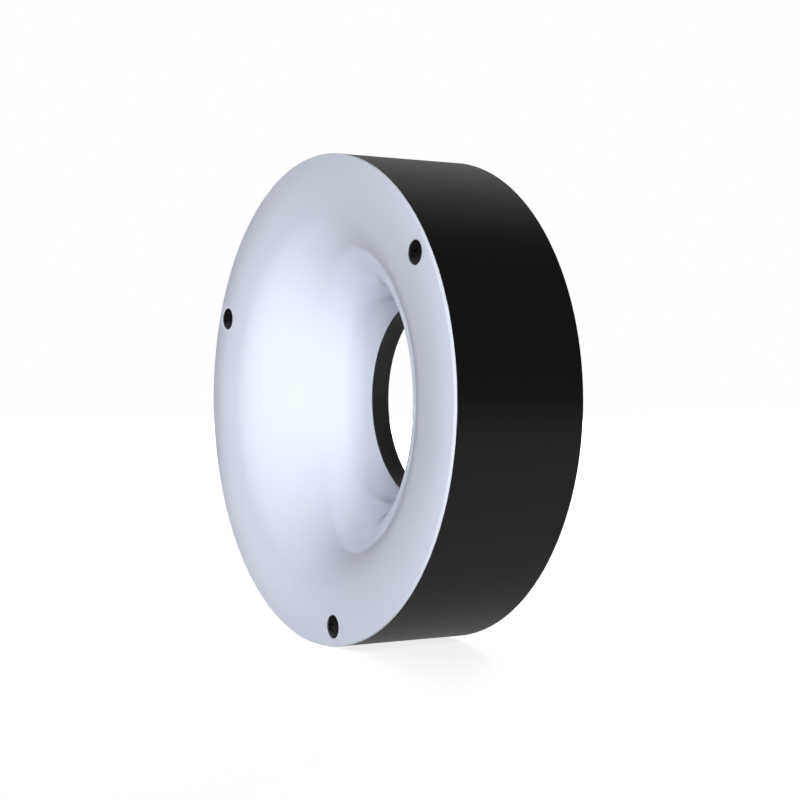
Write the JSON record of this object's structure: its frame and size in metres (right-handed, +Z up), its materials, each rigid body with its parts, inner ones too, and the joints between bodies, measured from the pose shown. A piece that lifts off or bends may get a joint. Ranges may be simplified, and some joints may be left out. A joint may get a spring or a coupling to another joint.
{
  "type": "machine vision ring light",
  "caption": "Ring light for machine vision: black round housing, flush opal bell diffuser held by screws, through bore for the camera, threaded rear mounting face.",
  "frame": {"origin": "centre of the rear mounting face, on the light's axis", "axes": "-Y is the way the light shines, +Y points out of the rear mounting face, +Z is up and +X is to the right as the front is seen"},
  "size_m": [0.1084, 0.03, 0.1],
  "materials": {
    "black_anodised": "satin black anodised",
    "opal_acrylic": "glossy opal white, translucent",
    "black_screw": "black oxide",
    "black_rubber": "matt",
    "thermal_silicone": "matt",
    "white_board": "white solder mask on glass epoxy",
    "zinc_steel": "zinc plated",
    "led_package": "white package with yellow phosphor",
    "resistor_ceramic": "glazed chip",
    "black_epoxy": "moulded epoxy",
    "ivory_nylon": "moulded nylon",
    "tinned_pin": "tinned",
    "red_insulation": "smooth insulation",
    "black_insulation": "smooth insulation",
    "white_film": "diffuse reflecting film",
    "nickel_brass": "nickel plated",
    "black_nylon": "moulded",
    "gold_contact": "gold flashed"
  },
  "bodies": {
    "root": {"housing_ring": "black_anodised", "rear_plate": "black_anodised", "diffuser": "opal_acrylic", "diffuser_screws": "black_screw", "diffuser_gasket": "black_rubber", "neck_seal": "black_rubber", "rear_seal": "black_rubber", "rear_plate_screws": "black_screw", "thermal_pad": "thermal_silicone", "led_board": "white_board", "board_screws": "zinc_steel", "inner_leds": "led_package", "middle_leds": "led_package", "outer_leds": "led_package", "resistors": "resistor_ceramic", "protection_diode": "black_epoxy", "board_header": "ivory_nylon", "header_pins": "tinned_pin", "lead_plug": "ivory_nylon", "red_lead": "red_insulation", "black_lead": "black_insulation", "joint_sleeves": "black_insulation", "wall_films": "white_film", "inlet_shell": "nickel_brass", "inlet_insert": "black_nylon", "inlet_contacts": "gold_contact", "inlet_seal": "black_rubber", "inlet_nut": "nickel_brass"}
  },
  "joints": []
}
